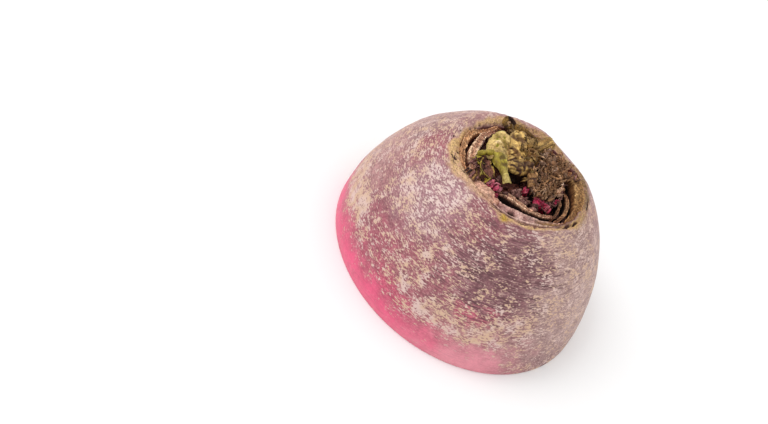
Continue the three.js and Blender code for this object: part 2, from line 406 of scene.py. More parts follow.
tone = np.repeat(SKIN[None, :], len(places), axis=0)
for *patch, red, green, blue in SKIN_PATCHES:
    tone = toward(tone, srgb(red, green, blue), patch_weight(*patch))
flecks = np.full(len(places), FLECKS)
for *patch, amount in FLECK_PATCHES:
    flecks += (amount - flecks) * patch_weight(*patch)

# The pink band near the cut: the flesh shows through thin skin, on one side of the root. It faces
# an angle, fades out between two angles from there, and reaches up to a height.
BAND_ANGLE = -120
BAND_ENDS = (84, 54)
BAND_HEIGHT = 7.4
facing = (turns - BAND_ANGLE + 180) % 360 - 180
edge = BAND_HEIGHT + 2.2 * shift_z + 1.6 * streaks + 1.6 * ease(38, 56, facing)
on_side = ease(*BAND_ENDS, np.abs(facing) + 6 * shift_x)
band = ease(3.6, -5, z - edge + 1.4 * streaks) * on_side
paler = ease(18, 48, facing + 8 * shift_x) + 0.35 * ease(5, 0, z)
band_colour = toward(PINK, PALE_PINK, np.clip(paler, 0, 1))
tone = toward(tone, band_colour, 0.38 * ease(9, -2, z - edge) * on_side * (1 - band))
tone = toward(tone, band_colour, band)
flecks = flecks * (1 - band) - 0.1 * band

# The corky ring round the basin is wide on the side of the broad leaf base and thin across from it.
# Each edge is an angle and a radius about the crown, and each tone an angle, its reach and a colour.
CORK = srgb(218, 180, 132)
CORK_EDGE = (
    (10, 22.4), (28, 23.4), (60, 23.4), (90, 21.6), (137, 21.3), (147, 20.6), (158, 19.9), (182, 20.4),
    (195, 22.5), (214, 22.3), (231, 20.9), (250, 20.3), (262, 20.8), (275, 23.2), (286, 22.6),
    (298, 22.5), (312, 22.1), (326, 22.6), (338, 23.7), (351, 23.5))
CORK_TONES = (
    (250, 34, 206, 166, 142), (20, 50, 106, 78, 46), (95, 30, 168, 130, 92), (276, 5, 176, 140, 48),
    (190, 24, 208, 172, 118), (330, 20, 204, 166, 110))
about_crown = turn_about(CROWN_SHIFT)
cork_reach = np.interp(about_crown % 360, *zip(*CORK_EDGE), period=360) + 0.6 * shift_x + 0.7 * streaks
from_crown = np.hypot(x - CROWN_SHIFT.x, y - CROWN_SHIFT.y)
cork = ease(0.45, -0.45, from_crown - cork_reach) * (z > CROWN_FROM) * outside
cork_tone = np.repeat(CORK[None, :], len(places), axis=0)
for angle, reach, *colour in CORK_TONES:
    cork_tone = toward(cork_tone, srgb(*colour), near_turn(about_crown, angle, reach))
tone = toward(tone, cork_tone, cork)
spread = rows(np.cos(angles), np.sin(angles), 0 * angles) * np.clip(rim_share * 6, 0, 1)[:, None]
keep(
    root, tone=tone, flecks=flecks, band=band, cork=cork, basin=in_basin, share=rim_share,
    lines=0.25 + 0.75 * patch_weight(-70, 27, 36, 12, 1) - 0.15 * band,
    wall=in_basin * ease(16.5, 19, spoke), pits=ease(0.3, 0.5, pits),
    bloom=patch_weight(-131, 35, 16, 6, 1), around=rows(x, y, arcs),
    rays=spread * 34 + np.array((0, 0, 3.2)) * rim_share[:, None])


def add_node(kind, output, sockets, **settings):
    """Adds a node and fills its sockets, each with a number, a colour or a link."""
    made = tree.nodes.new("ShaderNode" + kind)
    for name, value in settings.items():
        setattr(made, name, value)
    for name, value in sockets.items():
        socket = made.inputs[name]
        if isinstance(value, bpy.types.NodeSocket):
            tree.links.new(value, socket)
        elif socket.type == "RGBA":
            socket.default_value = (*value, 1)
        else:
            socket.default_value = value
    return made.outputs[output]


def kept(name, output="Fac"):
    """What is stored on the piece under the name."""
    return add_node("Attribute", output, {}, attribute_name=name)


def noise_of(vector, scale, detail=2, rough=0.5, distort=0, stretch=None):
    """Noise at a scale, read from the vector, or from the vector stretched."""
    if stretch:
        vector = add_node("Mapping", "Vector", {"Vector": vector, "Scale": stretch})
    sockets = {"Vector": vector, "Scale": scale, "Detail": detail, "Roughness": rough, "Distortion": distort}
    return add_node("TexNoise", "Fac", sockets)


def times(value, factor, more=0):
    """The value times the factor, plus more. Each is a number or a link."""
    return add_node("Math", 0, {0: value, 1: factor, 2: more}, operation="MULTIPLY_ADD")


def ramp(value, low, high, bottom=0, top=1):
    """The value from low to high, made to run smoothly from bottom to top."""
    ends = {"Value": value, "From Min": low, "From Max": high, "To Min": bottom, "To Max": top}
    return add_node("MapRange", "Result", ends, interpolation_type="SMOOTHSTEP")


def mix(share, under, over, way="MIX"):
    """Mixes two colours by a share."""
    return add_node("Mix", 2, {0: share, 6: under, 7: over}, data_type="RGBA", blend_type=way)


def coats(under, *layers):
    """Lays coats over a colour. Each is a share, how strong it is, and a colour or a link to one."""
    for share, strength, colour in layers:
        over = colour if isinstance(colour, bpy.types.NodeSocket) else srgb(*colour)
        under = mix(times(share, strength), under, over)
    return under


def finish_with(coloured, height, distance, strength):
    """Gives the shader its colour, and raises its surface by the height, up to the distance."""
    tree.links.new(coloured, shader.inputs["Base Color"])
    raised = {"Height": height, "Distance": distance * MM, "Strength": strength}
    tree.links.new(add_node("Bump", "Normal", raised), shader.inputs["Normal"])


# The skin: a mauve ground under pale corky flecks that lie round the root, with thin dark lines.
root.data.materials.append(new_finish("radish_skin", 0.6, 0.35))
around = kept("around", "Vector")
ground = kept("tone", "Color")
line_share = kept("lines")
fine_noise = noise_of(around, 1, 1, stretch=(1.5, 1.5, 3.4))
fleck_sum = times(noise_of(around, 1, 2, 0.6, 0.2, (0.7, 0.7, 2.1)), 0.5, times(fine_noise, 0.33))
fleck_sum = times(noise_of(around, 1, 3, 0.6, stretch=(0.26, 0.26, 0.32)), 0.36, fleck_sum)
fleck_sum = times(kept("flecks"), 0.24, times(fleck_sum, 1, -0.19))
fleck = ramp(fleck_sum, 0.51, 0.565)
line_noise = noise_of(around, 1, 2, 0.6, 0.25, (0.2, 0.2, 2.4))
mottle = ramp(noise_of(around, 0.45, 3, 0.6), 0.32, 0.68)
grit = mix(ramp(fine_noise, 0.34, 0.6), (0.8, 0.76, 0.78), (1.1, 1.1, 1.1))
uneven = mix(1, mix(mottle, (0.78, 0.7, 0.74), (1.12, 1.1, 1.12)), grit, "MULTIPLY")
coloured = mix(times(kept("band"), -0.75, 1), ground, uneven, "MULTIPLY")
fleck_colour = mix(ramp(noise_of(around, 0.25), 0.35, 0.6), srgb(218, 190, 181), srgb(212, 178, 150))
coloured = coats(
    coloured,
    (ramp(fleck_sum, 0.42, 0.55), 0.6, mix(0.5, coloured, srgb(196, 160, 154))),
    (ramp(line_noise, 0.47, 0.38), line_share, (94, 60, 64)),
    (ramp(line_noise, 0.6, 0.7), times(line_share, 0.6), (190, 154, 148)),
    (fleck, 0.9, coats(fleck_colour, (kept("bloom"), 0.6, (228, 206, 204)))),
)
cork_grain = mix(ramp(noise_of(around, 1.5, 3, 0.65), 0.34, 0.64), (0.62, 0.58, 0.5), (1.22, 1.22, 1.24))
hue_noise = noise_of(around, 2.8, 1)
cork_line = noise_of(around, 1, 2, 0.6, 0.4, (0.3, 0.3, 2.6))
cork_colour = coats(
    mix(1, ground, cork_grain, "MULTIPLY"),
    (ramp(noise_of(around, 0.5), 0.5, 0.62), 0.4, (196, 146, 130)),
    (ramp(hue_noise, 0.54, 0.64), 0.4, (216, 184, 100)),
    (ramp(hue_noise, 0.44, 0.35), 0.5, (150, 96, 92)),
    (ramp(cork_line, 0.46, 0.38), 0.34, (104, 68, 44)),
    (ramp(noise_of(around, 1.9, 2, 0.55), 0.6, 0.68), 0.8, (92, 60, 38)),
)
# The basin is dark brown, and is painted darker still near its wall, as shade. Pits in the corky ring are
# painted near black as shade.
basin_noise = ramp(noise_of(around, 0.8, 3, 0.6), 0.4, 0.65)
basin_colour = coats(mix(basin_noise, srgb(84, 40, 36), srgb(132, 78, 62)), (kept("wall"), 0.8, (84, 38, 40)))
coloured = coats(coloured, (kept("cork"), 1, cork_colour), (kept("pits"), 1, (58, 26, 22)),
                 (kept("basin"), 1, basin_colour))
finish_with(coloured, times(fleck, 0.6, times(line_noise, 0.8)), 0.12, 0.7)
tree.links.new(ramp(fleck, 0, 1, 0.5, 0.72), shader.inputs["Roughness"])

# The cut face: wet magenta flesh with paler rays, a dark crimson ring and a thin bright rind.
root.data.materials.append(new_finish("cut_face_flesh", 0.32, 0.5))
around = kept("around", "Vector")
share = kept("share")
rough_edge = noise_of(around, 0.9, 3, 0.6)
wavering = times(rough_edge, 0.024, times(share, 1, -0.012))
ray = noise_of(kept("rays", "Vector"), 1, 3, 0.6, 0.1)
ray_share = ramp(share, 0.2, 0.8)
pores = noise_of(around, 1.4, 3, 0.6)
coloured = coats(
    mix(ramp(share, 0.3, 0.85), srgb(236, 44, 104), srgb(222, 54, 120)),
    (ramp(noise_of(around, 0.12, 3, 0.55), 0.35, 0.7), 0.4, (242, 70, 130)),
    (times(ramp(ray, 0.5, 0.7), ray_share), 0.75, (240, 106, 158)),
    (times(ramp(ray, 0.47, 0.33), ray_share), 0.7, (186, 26, 84)),
    (times(ramp(wavering, 0.872, 0.888), ramp(wavering, 0.962, 0.945)), 0.9,
     mix(ramp(rough_edge, 0.35, 0.65), srgb(126, 6, 44), srgb(186, 24, 78))),
    (ramp(wavering, 0.95, 0.968), 1, (224, 44, 106)),
    (ramp(share, 0.982, 0.992), 1, (202, 156, 148)),
    (ramp(pores, 0.62, 0.72), 0.25, (246, 150, 186)),
)
finish_with(coloured, times(ray, ray_share, times(pores, 0.5)), 0.12, 0.6)
for polygon in root.data.polygons:
    polygon.material_index = int(polygon.center.z < 2 * HAIR * MM)

bpy.ops.object.shade_smooth()
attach(root, "root")
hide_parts("root_half")

# ------------
# The leaf bases: what is left of the outer leaves, broken off short. Each is a crescent of leaf
# stalk that grew out of the crown and grips the next one in. Their tops are hollow and ragged.
SEAT = 35.1
# A near black, painted as shade in the gaps and on the low walls of the crown.
DEEP_SHADE = srgb(40, 14, 12)
MAROON = srgb(104, 30, 42)
PINK_TAN = srgb(204, 158, 130)
TAN = srgb(206, 166, 118)
OLIVE = srgb(150, 118, 66)
YELLOW_OLIVE = srgb(176, 150, 80)
MAUVE = srgb(176, 140, 130)
DARK_MAUVE = srgb(134, 94, 92)
# The pale top edges of leaf bases, a painted highlight.
PALE_RIM_HIGHLIGHT = srgb(238, 214, 182)
# A piece's colour is multiplied by the low painted shade up to the first of these heights, by the
# high painted light from the second up, and by a blend of them between: shade painted deep in the
# crown and light painted on its tops.
LOW_PAINTED_SHADE = np.array((0.66, 0.4, 0.38))
HIGH_PAINTED_LIGHT = 1.1
PAINTED_SHADE_HEIGHTS = (36.4, 40.4)
DENT_FROM = 37


def get_tones(piece):
    """The piece's stored colours."""
    return read_rows(piece.data.attributes["tone"].data, "color", 4)[:, :3]


def pick(*pieces):
    """Selects the pieces and nothing else, with the first one active."""
    deselect()
    for piece in pieces:
        piece.select_set(True)
    bpy.context.view_layer.objects.active = pieces[0]


def finish_piece(piece, node, material):
    """Paints shade on a piece low down and light on its top, gives it its material, attaches it to the root
    and hides the part it stands for.
    """
    pick(piece)
    bpy.ops.object.shade_smooth()
    # Painted shade low down and painted light on the top of each piece.
    high_up = ease(*PAINTED_SHADE_HEIGHTS, get_places(piece)[:, 2])
    keep(piece, tone=get_tones(piece) * toward(LOW_PAINTED_SHADE, HIGH_PAINTED_LIGHT, high_up))
    piece.data.materials.clear()
    piece.data.materials.append(material)
    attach(piece, "root")
    if node:
        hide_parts(node)


def tissue(name, rough, fibre_scale, fibre_depth, speck, speck_share, contrast=1, spot_share=0.5):
    """Dried or living leaf tissue: the piece's own tone, with fibres along its grain and specks."""
    made = new_finish(name, rough, 0.3)
    grain = kept("grain", "Vector")
    fibres = noise_of(grain, 1, 3, 0.6, 0.3, (fibre_scale, fibre_scale, 0.35))
    patches = noise_of(grain, 0.7, 3, 0.6, 0.4)
    coloured = kept("tone", "Color")
    for share, found, low, high, dark, light in (
        (contrast, fibres, 0.32, 0.66, (0.4, 0.35, 0.32), (1.5, 1.5, 1.46)),
        (1, patches, 0.35, 0.68, (0.7, 0.62, 0.6), (1.15, 1.15, 1.15)),
        (contrast, noise_of(grain, 2.6, 2, 0.6), 0.38, 0.6, (0.66, 0.6, 0.58), (1.2, 1.2, 1.2)),
    ):
        coloured = mix(share, coloured, mix(ramp(found, low, high), dark, light), "MULTIPLY")
    coloured = coats(coloured, (ramp(noise_of(grain, 1.9, 2, 0.6), 0.56, 0.64), speck_share, speck),
                     (ramp(noise_of(grain, 0.9, 2, 0.5, 0.6), 0.62, 0.67), spot_share, srgb(*speck) * 0.5))
    finish_with(coloured, times(patches, 0.8, fibres), fibre_depth, 0.8)
    return made


base_tissue = tissue("leaf_base_tissue", 0.8, 2.2, 0.25, (70, 44, 26), 0.6)
smooth_tissue = tissue("smooth_leaf_base_tissue", 0.55, 1.2, 0.1, (104, 62, 62), 0.45, 0.6)


def leave_edit():
    """Merges doubles, turns all faces outwards and leaves edit mode."""
    bpy.ops.mesh.select_all(action="SELECT")
    bpy.ops.mesh.remove_doubles(threshold=0.001 * MM)
    bpy.ops.mesh.normals_make_consistent(inside=False)
    bpy.ops.object.mode_set(mode="OBJECT")


def sheath(name, reach, thick, turn, height, low, high, rim_highlight, seed, about=BASIN_MIDDLE, tilt=0, dish=0.5,
           torn=1, wave=0.45, ends=0.3, far_high=None, lean=0.06, sunk=True, step=0.45, tip_over=(0, 0),
           pale_from=0.55):
    """A crescent wall about a middle. reach and thick run along the arc, and turn is its two angles."""
    deselect()
    middle = sum(reach) / len(reach)
    half = sum(thick) / len(thick) / 2
    sweep = math.radians(turn[1] - turn[0])
    bpy.ops.mesh.primitive_plane_add(size=MM, rotation=(math.pi / 2, 0, 0))
    piece = just_made(name)
    piece.scale = (2 * half, height, 1)
    piece.location = Vector((middle, 0, height / 2)) * MM
    bpy.ops.object.transform_apply()
    edit_all()
    bpy.ops.mesh.subdivide(number_cuts=5)
    steps = max(12, int(sweep * middle / step))
    bpy.ops.mesh.spin(steps=steps, angle=sweep, center=(0, 0, 0), axis=(0, 0, 1))
    leave_edit()
    apply_modifier(piece, "SUBSURF", levels=1, render_levels=1)

    at = get_places(piece)
    swept = np.arctan2(at[:, 1], at[:, 0])
    if np.mean(swept) < 0:
        swept = swept + sweep
    share = np.clip(swept / sweep, 0, 1)
    across = (np.hypot(at[:, 0], at[:, 1]) - middle) / half
    up = at[:, 2] / height
    arc = swept * middle
    zero = 0 * arc
    fine = field(rows(arc, zero, zero), 1.1, seed + 11, 3)
    slow = field(rows(arc, zero, zero), 4, seed + 12)
    fold = field(rows(arc, across * 2, up * 1.2), 0.9, seed + 13)
    grooves = field(rows(arc * 0.25, across * half * 1.6, zero), 0.7, seed + 14)
    ragged = field(rows(arc, across * 4, up * 1.5), 0.7, seed + 15, 3)
    width = np.interp(share, np.linspace(0, 1, len(thick)), thick) / 2 * (1.12 - 0.27 * up)
    out = np.interp(share, np.linspace(0, 1, len(reach)), reach) + across * width + lean * height * up
    out += wave * field(rows(arc, up * 2, zero), 5, seed) + 0.22 * ragged * across * ease(0.4, 1, up)
    top = height * (ends + (1 - ends) * np.sin(math.pi * share) ** 0.6)
    top *= 1 + torn * (0.12 * fine + 0.14 * slow - 0.3 * np.clip(fine - 0.35, 0, 1))
    at_top = ease(0.88, 1, up)
    sink = at_top * (dish * np.clip(1 - across ** 2, 0, 1) * (1 + 0.5 * fold) + 0.22 * grooves)
    angle = swept + math.radians(turn[0])
    if about is BASIN_MIDDLE:
        top -= LIP_CHIP * near_turn(np.degrees(angle), *CHIP_SPOT)
    rise = up * (top + tilt * across) - sink
    moved = rows(out * np.cos(angle) + about[0], out * np.sin(angle) + about[1], SEAT + rise)
    moved[:, :2] += (np.clip(rise / height, 0, 2) ** 1.4)[:, None] * tip_over
    set_places(piece, moved)

    # Painted shade: the low walls take the low colour. Painted highlight: the top edges take the rim colour.
    tones = toward(low * 0.7, high, ease(pale_from, pale_from + 0.38, up + 0.12 * fine))
    if far_high is not None:
        far = toward(low, far_high, ease(pale_from, pale_from + 0.38, up))
        tones = toward(tones, far, ease(0.45, 0.8, share))
    tones = tones * (1 + 0.35 * grooves * at_top)[:, None]
    tones = toward(tones, rim_highlight, ease(0.72, 0.98, up) * ease(0.35, 0.95, np.abs(across)) * 0.8)
    # Painted shade in the hollow of a sunk top.
    if sunk:
        hollow = at_top * np.clip(1.1 - across ** 2 * 1.6, 0, 1) * min(1, dish * 1.4)
        tones = toward(tones, low * 0.8 + high * 0.2, hollow * 0.6)
    keep(piece, tone=tones, grain=rows(arc, across * half, rise))
    return piece


def leaf_base(name, node, *shape, **more):
    """A leaf base of the usual tissue."""
    finish_piece(sheath(name, *shape, **more), node, base_tissue)


def dab(piece, colour, *spots):
    """Dents and colours a piece about spots, each x, y, reach and drop."""
    at = get_places(piece)
    tones = get_tones(piece)
    for *spot, reach, drop in spots:
        near = np.exp(-(np.hypot(*(at[:, :2] - spot).T) / reach) ** 2) * (at[:, 2] > DENT_FROM)
        at[:, 2] -= drop * near
        tones = toward(tones, srgb(*colour), ease(0.12, 0.45, near))
    set_places(piece, at)
    keep(piece, tone=tones)


leaf_base(
    "thin_outer_leaf_base", "outer_leaf_base_1", (18.9, 18.4, 18.1, 18.9, 18.7, 18.6, 18.2, 17.2),
    (1.1, 1.3, 1.6, 2.1, 1.8, 1.7, 1.4, 1), (116, 241), 4.2, srgb(134, 78, 68), TAN * 0.95,
    srgb(224, 186, 146), 21, dish=0.3, pale_from=0.45)
leaf_base(
    "broad_leaf_base", "middle_leaf_base_1", (18, 16.7, 15.7, 15.2, 15.6, 16.2, 16.4),
    (1, 1.8, 2.6, 2.9, 2.7, 2.1, 1.1), (128, 234), 4.7, srgb(140, 78, 72), srgb(208, 168, 138), PALE_RIM_HIGHLIGHT,
    25, dish=0.3, pale_from=0.45)
mauve_base = sheath(
    "mauve_leaf_base", (16, 16.9, 17.4, 17.9, 18.4, 18.8, 19), (2.9, 4.3, 5, 4, 2.7, 2, 1.4), (255, 336),
    4.3, MAROON, srgb(162, 130, 127), srgb(232, 206, 192), 22, tilt=0.3, dish=0.9, torn=0.35,
    far_high=YELLOW_OLIVE * 0.9, sunk=False, wave=0.15, ends=0.6)
# Painted highlights on the top of the mauve leaf base, a pink spot, and a hole that is dented in and painted
# dark as shade.
for colour, spot in (
    ((226, 200, 192), (7, -15.2, 1.3, -0.3)), ((206, 178, 174), (2.5, -15.2, 1.1, -0.2)),
    ((200, 172, 164), (10.4, -14, 1, 0)), ((190, 70, 96), (-0.8, -14.2, 0.9, 0)),
    ((30, 12, 10), (4.5, -15.7, 0.95, 2.5)), ((60, 34, 30), (5.2, -15.4, 0.6, 1.2)),
):
    dab(mauve_base, colour, spot)
finish_piece(mauve_base, "outer_leaf_base_2", smooth_tissue)
flush_base = sheath(
    "flush_leaf_base", (17.4, 16.6, 16.5, 16.4, 16.2), (1.6, 4, 5, 4.6, 3), (225, 262), 4.1, MAROON,
    srgb(206, 166, 144), srgb(214, 180, 152), 34, dish=0, torn=0.4, wave=0.15, ends=0.7)
finish_piece(flush_base, "outer_leaf_base_5", smooth_tissue)
leaf_base(
    "tan_leaf_base", "middle_leaf_base_2", (12.4, 11.5, 11.8, 13.4, 14.7, 15.5, 15.7),
    (1, 1.7, 2, 1.8, 1.3, 1, 0.8), (244, 336), 4.5, DEEP_SHADE, PINK_TAN * 0.95, PALE_RIM_HIGHLIGHT, 26, dish=0.3,
    wave=0.3, torn=0.6, pale_from=0.62)
leaf_base(
    "small_scale", None, (9.6, 9.9), (0.9, 1.2, 0.8), (266, 310), 4, MAROON, DARK_MAUVE * 1.2, PALE_RIM_HIGHLIGHT,
    32, dish=0.1)
leaf_base(
    "olive_leaf_base", "outer_leaf_base_3", (19.4, 18.9, 18.4, 17.9, 17.6, 17.6), (1, 2, 3, 3.7, 4, 3.8),
    (322, 418), 4.3, DEEP_SHADE, srgb(164, 130, 82), srgb(190, 156, 104), 23, dish=0.25, wave=0.2, torn=0.9,
    pale_from=0.25)
leaf_base(
    "far_leaf_base", "outer_leaf_base_4", (17.6, 18.2), (1.8, 2), (60, 122), 4.2, DEEP_SHADE, OLIVE, TAN, 24,
    dish=0.3)
leaf_base(
    "olive_inner_leaf_base", "middle_leaf_base_3", (17.8, 16.7, 14.9, 13.6), (0.8, 1.1, 1.2, 0.9),
    (320, 380), 4.2, DEEP_SHADE, srgb(160, 124, 88), srgb(206, 172, 130), 27, dish=0.2, wave=0.25,
    pale_from=0.62)
leaf_base(
    "short_leaf_base", "inner_leaf_base_1", (14.2, 14.4, 14.9), (0.8, 1.2, 0.8), (188, 238), 4, MAROON,
    DARK_MAUVE, YELLOW_OLIVE, 28, dish=0.2)
leaf_base(
    "thin_right_layer", None, (16.6, 14.8, 12.8, 11.8), (0.6, 0.8, 0.6), (320, 372), 3.9, DEEP_SHADE,
    srgb(124, 92, 66), srgb(196, 160, 122), 33, dish=0.1, wave=0.2, pale_from=0.62)
leaf_base(
    "thin_leaf_base", "inner_leaf_base_2", (12.7, 12.9, 12.4), (0.7, 0.9, 0.7), (332, 384), 4, DEEP_SHADE,
    DARK_MAUVE, MAUVE, 29, dish=0.2, pale_from=0.62)

# ------------
# The dried leaf sheaths that fill the far side of the crown: thin brown sheets that stand one
# behind another and have torn tops. Each stump is several sheets that grew from one foot.
BROWN = srgb(160, 126, 92)
DARK_BROWN = srgb(44, 22, 16)
GREY_BROWN = srgb(194, 170, 150)
dry_tissue = tissue("dry_leaf_tissue", 0.85, 2.6, 0.3, (40, 22, 14), 0.6)


def join_pieces(name, *pieces):
    """Makes one piece of several."""
    pick(*pieces)
    bpy.ops.object.join()
    return just_made(name)


# Each stump's end of its name, node number and seed, and for each sheet its middle, its radius,
# its two angles and its height.
for place, number, seed, *sheets in (
    ("near", 3, 61, (9.4, -0.6, 3, (170, 350), 4.7), (9.6, 0.4, 1.8, (180, 360), 5),
     (9.8, 0.6, 3.2, (-40, 60), 5)),
    ("middle", 2, 62, (9.2, 5.2, 3.4, (160, 330), 5.6), (9.4, 5.6, 2.1, (170, 350), 5.9),
     (9.6, 5.4, 3.4, (-50, 70), 5.6)),
    ("far", 1, 63, (8.6, 10.8, 3.2, (150, 320), 6), (8.8, 11, 1.9, (150, 340), 6.4),
     (8.8, 10.8, 3.2, (-50, 80), 5.9)),
):
    made = []
    for layer, (*about, size, turn, height) in enumerate(sheets):
        made.append(sheath(
            f"sheet_{layer}", (size, size * 0.9, size), (0.6, 0.9, 0.6), turn, height, DARK_BROWN, BROWN,
            GREY_BROWN, seed + 17 * layer, about=about, dish=0.1, torn=0.7, wave=0.9, ends=0.7, lean=0,
            sunk=False, step=0.35, tip_over=(0.3, 0.3)))
    stump = join_pieces(f"fibrous_base_{place}", *made)
    finish_piece(stump, f"fibrous_leaf_base_{number}", dry_tissue)

# ------------
# The stalk stubs at the heart of the crown: leaf stalks cut or broken off short, then dried. Each
# is drawn up ring by ring from an oval foot, with ribs along it and a sunken, spongy top.
KHAKI = srgb(160, 130, 76)
DARK_KHAKI = srgb(84, 60, 26)
CREAM = srgb(206, 180, 116)
stalk_tissue = tissue("stalk_tissue", 0.65, 1.8, 0.22, (80, 54, 24), 0.5, 0.8, 0.6)


def wander(points, size, first_seed, octaves=2):
    """Smooth random moves of the points, each way with a seed of its own."""
    return rows(*(field(points, size, first_seed + number, octaves) for number in range(3)))


def stub(name, foot, half, turn, top, shrink, low, high, rim_highlight, seed, ribs=0.12, crumple=0.3, sink=0.8):
    """A ribbed oval stub between two places, its foot and its top."""
    deselect()
    bpy.ops.mesh.primitive_circle_add(vertices=56, radius=1, fill_type="NGON")
    piece = just_made(name)
    edit_all()
    for _ in range(10):
        bpy.ops.mesh.extrude_region_move()
        bpy.ops.transform.translate(value=(0, 0, 0.1))
    for width in (0.16, 0.14, 0.22, 0.22):
        bpy.ops.mesh.inset(thickness=width)
    bpy.ops.mesh.poke()
    leave_edit()
    apply_modifier(piece, "SUBSURF", levels=1, render_levels=1)

    at = get_places(piece) * MM
    angle = np.arctan2(at[:, 1], at[:, 0])
    out = np.hypot(at[:, 0], at[:, 1])
    up = np.clip(at[:, 2], 0, 1)
    travel = Vector(top) - Vector(foot)
    circle = rows(np.cos(angle), np.sin(angle), up * 0.35)
    ribbed = field(circle * 3.2, 1, seed)
    size = (1 + (shrink - 1) * up) * (1 + ribs * ribbed) * out
    inner = ease(0.92, 0.55, out)
    # The section is turned, and tips to face along the stub as it leans.
    axis = travel.normalized()
    side = Vector((0, 0, 1)).cross(axis)
    tip = Matrix.Rotation(axis.angle(Vector((0, 0, 1))), 3, side) if side.length > 0 else Matrix.Identity(3)
    tip = tip @ Matrix.Rotation(math.radians(turn), 3, "Z")
    flat = rows(half[0] * size * np.cos(angle), half[1] * size * np.sin(angle), 0 * size)
    at_top = ease(0.88, 1, at[:, 2])
    along = travel.length * up * (1 + 0.08 * field(circle * 2.2, 1, seed + 5, 3)) - sink * inner * at_top
    moved = np.array(foot) + np.array(axis) * along[:, None] + flat @ np.array(tip.transposed())
    rough = wander(moved, 1.5, seed + 6, 3)
    set_places(piece, moved + rough * crumple * ease(0, 0.3, up)[:, None])
    tones = toward(low, high, ease(0, 0.7, up + 0.15 * ribbed))
    # Painted shade in the grooves between the ribs and in the sunken top, and a painted highlight on the top
    # edge.
    tones = tones * (0.6 + 0.55 * ease(-0.35, 0.5, ribbed))[:, None]
    tones = toward(tones, rim_highlight, ease(0.9, 1, up) * (1 - inner) * 0.8)
    tones = toward(tones, low, inner * at_top * 0.75)
    wide = max(half)
    keep(piece, tone=tones, grain=rows(angle * wide, out * wide, along))
    return piece


far_stalk = stub(
    "far_stalk", (0.9, 11.6, 38), (2.2, 2.3), -35, (5.4, 17.8, 42), 0.9, DARK_KHAKI, KHAKI, CREAM * 0.9,
    41, ribs=0.14, crumple=0.12)
finish_piece(far_stalk, "far_stalk_stub", stalk_tissue)

# ------------
# The leaf blades at the heart: a young leaf that is still alive and yellow-green, a crumpled cream
# leaf behind it, a folded bud and a curled dry tip. Each is a thin sheet that bends and creases.
TOWARD_LENS = (0.1, -0.72, 0.66)
LEAF_GREEN = srgb(160, 148, 48)
LEAF_SHADE = srgb(92, 74, 24)
LEAF_PALE = srgb(196, 184, 104)
# The dark of creases, painted as shade.
CREASE_SHADE = (72, 44, 28)
leaf_tissue = tissue("young_leaf_tissue", 0.5, 1.2, 0.08, (112, 88, 26), 0.3, 0.45, 0.15)
cream_tissue = tissue("cream_leaf_tissue", 0.6, 1.3, 0.1, (104, 80, 36), 0.4, 0.4, 0.35)
folded_tissue = tissue("folded_leaf_tissue", 0.6, 1.3, 0.14, (84, 54, 28), 0.55, 0.6, 0.5)
bud_tissue = tissue("bud_tissue", 0.6, 2.2, 0.2, (70, 46, 24), 0.4, 0.6, 0.15)


def along_curve(points, share):
    """Places on a smooth curve through the points, at each share of its length."""
    points = np.array(points, dtype=float)
    padded = np.vstack((2 * points[0] - points[1], points, 2 * points[-1] - points[-2]))
    spot = np.clip(share, 0, 1) * (len(points) - 1)
    first = np.minimum(spot.astype(int), len(points) - 2)
    t = (spot - first)[:, None]
    a, b, c, d = (padded[first + number] for number in range(4))
    bend = (2 * a - 5 * b + 4 * c - d) * t ** 2 + (3 * b - a - 3 * c + d) * t ** 3
    return 0.5 * (2 * b + (c - a) * t + bend)


def unit(found):
    """The rows, each made one long."""
    return found / np.linalg.norm(found, axis=1, keepdims=True)


def cell_edges(points, size, seed):
    """1 along the lines where neighbouring cells of the given size meet, 0 inside them."""
    moved = points / size + np.array((seed * 3.3, seed * 1.7, seed * 2.9))
    found = np.array([noise.voronoi(Vector(p))[0][:2] for p in moved])
    return np.exp(-((found[:, 1] - found[:, 0]) / 0.16) ** 2)


def flat_cells(points, size, seed):
    """Cells that are each tilted their own way: how far each point rises, and its cell's shade."""
    moved = points / size + np.array((seed * 2.1, seed * 3.7, seed * 1.3))
    middles = np.array([noise.voronoi(Vector(p))[1][0] for p in moved])
    tilts = 2.2 * wander(middles * 9.7, 1, seed + 30, 1)
    shade = 2.2 * field(middles * 9.7, 1, seed + 33, 1)
    return ((moved - middles) * tilts).sum(axis=1) * size + 0.25 * shade, np.clip(shade, -1, 1)


